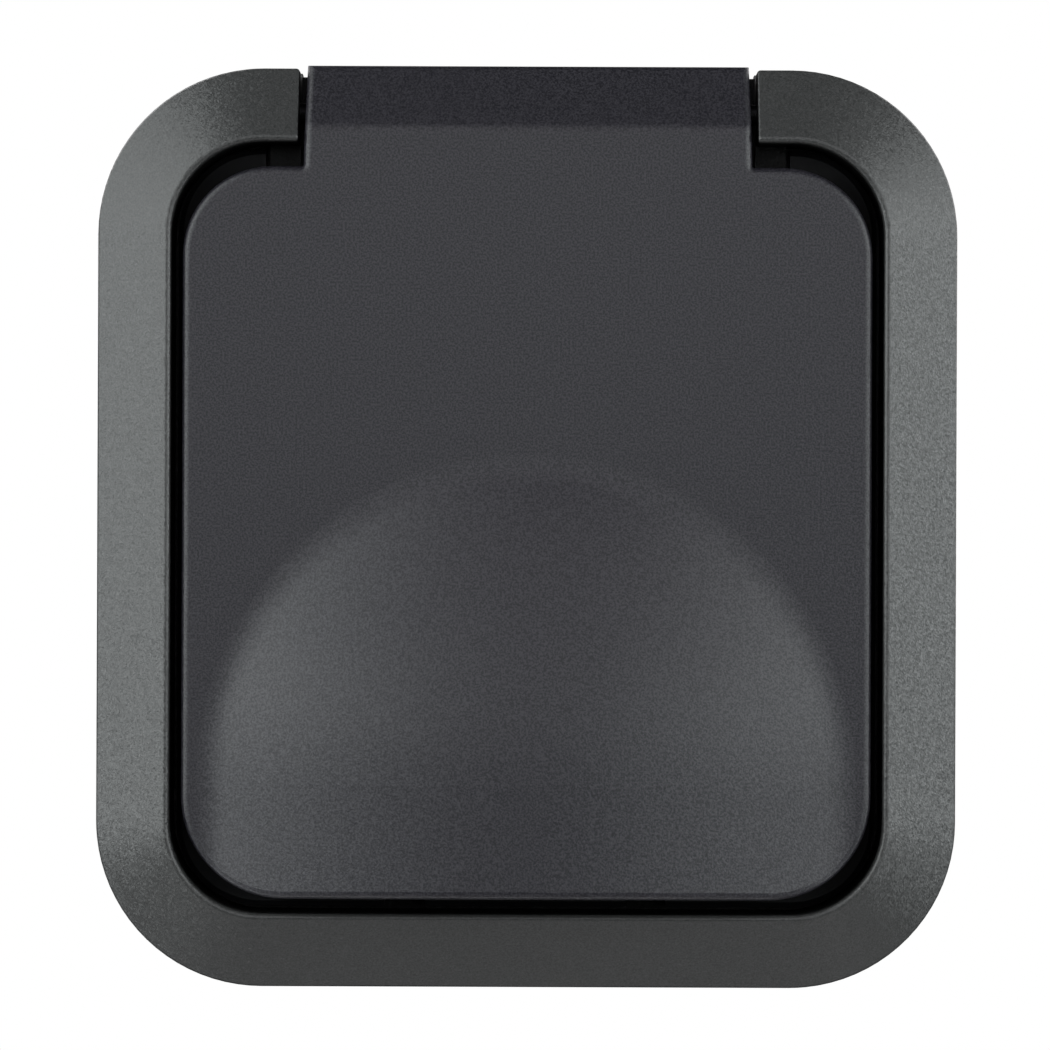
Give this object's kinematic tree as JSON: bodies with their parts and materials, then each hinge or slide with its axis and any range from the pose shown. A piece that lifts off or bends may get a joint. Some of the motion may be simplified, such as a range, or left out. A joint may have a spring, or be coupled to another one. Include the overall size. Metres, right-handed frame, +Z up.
{
  "type": "outdoor weatherproof socket",
  "caption": "Flush-mounted outdoor socket: bevelled square frame, sprung lid with domed grip hinged at the top, and a round earthed plug well behind it.",
  "frame": {"origin": "on the wall face, on the axis of the wall box and of the plug well", "axes": "+X to the right seen from the room, +Y into the wall, +Z up towards the hinge"},
  "size_m": [0.085, 0.0558, 0.0911],
  "materials": {
    "frame_plastic": "anthracite grey, leathery moulded grain, satin sheen",
    "lid_plastic": "anthracite grey, fine spark-eroded grain, matt",
    "well_plastic": "dark anthracite, matt moulded",
    "seal_rubber": "black, matt",
    "pin_steel": "blackened steel",
    "spring_steel": "drawn spring wire and strip",
    "zinc_steel": "zinc plated, dull",
    "insert_plastic": "light grey thermoset",
    "shutter_plastic": "dark grey, smooth",
    "contact_brass": "stamped, bare",
    "lever_plastic": "orange, smooth"
  },
  "bodies": {
    "socket": {"centre_plate": "well_plastic", "centre_screw": "zinc_steel", "cover_frame": "frame_plastic", "cover_screws": "zinc_steel", "earth_bracket": "contact_brass", "hinge_pin": "pin_steel", "insert_back": "insert_plastic", "insert_base": "insert_plastic", "lid_spring": "spring_steel", "line_contact": "contact_brass", "neutral_contact": "contact_brass", "plate_seal": "seal_rubber", "ring_rivets": "zinc_steel", "shutter_spring": "spring_steel", "support_ring": "zinc_steel", "terminal_springs": "spring_steel", "wall_gasket": "seal_rubber"},
    "lid": {"lid": "lid_plastic", "lid_seal": "seal_rubber"},
    "shutter": {"shutter": "shutter_plastic"},
    "line_lever": {"line_lever": "lever_plastic"},
    "neutral_lever": {"neutral_lever": "lever_plastic"},
    "earth_lever": {"earth_lever": "lever_plastic"}
  },
  "joints": [
    {"name": "lid_hinge", "type": "hinge", "parent": "socket", "child": "lid", "pos_m": [0, -0.0116, 0.041], "axis": [-1, 0, 0], "range_deg": [0, 110], "stiffness_Nm_per_rad": 0.01, "springref_deg": -57.3, "deforming": ["lid_spring"]},
    {"name": "shutter_turn", "type": "hinge", "parent": "socket", "child": "shutter", "pos_m": [0, 0.00855, 0], "axis": [0, 1, 0], "range_deg": [0, 36], "stiffness_Nm_per_rad": 0.002, "springref_deg": -17.19, "deforming": ["shutter_spring"]},
    {"name": "line_press", "type": "slide", "parent": "socket", "child": "line_lever", "axis": [0, -1, 0], "range_m": [0, 0.0012], "stiffness_N_per_m": 900, "springref_m": -0.0005},
    {"name": "neutral_press", "type": "slide", "parent": "socket", "child": "neutral_lever", "axis": [0, -1, 0], "range_m": [0, 0.0012], "stiffness_N_per_m": 900, "springref_m": -0.0005},
    {"name": "earth_press", "type": "slide", "parent": "socket", "child": "earth_lever", "axis": [0, -1, 0], "range_m": [0, 0.0012], "stiffness_N_per_m": 900, "springref_m": -0.0005}
  ]
}
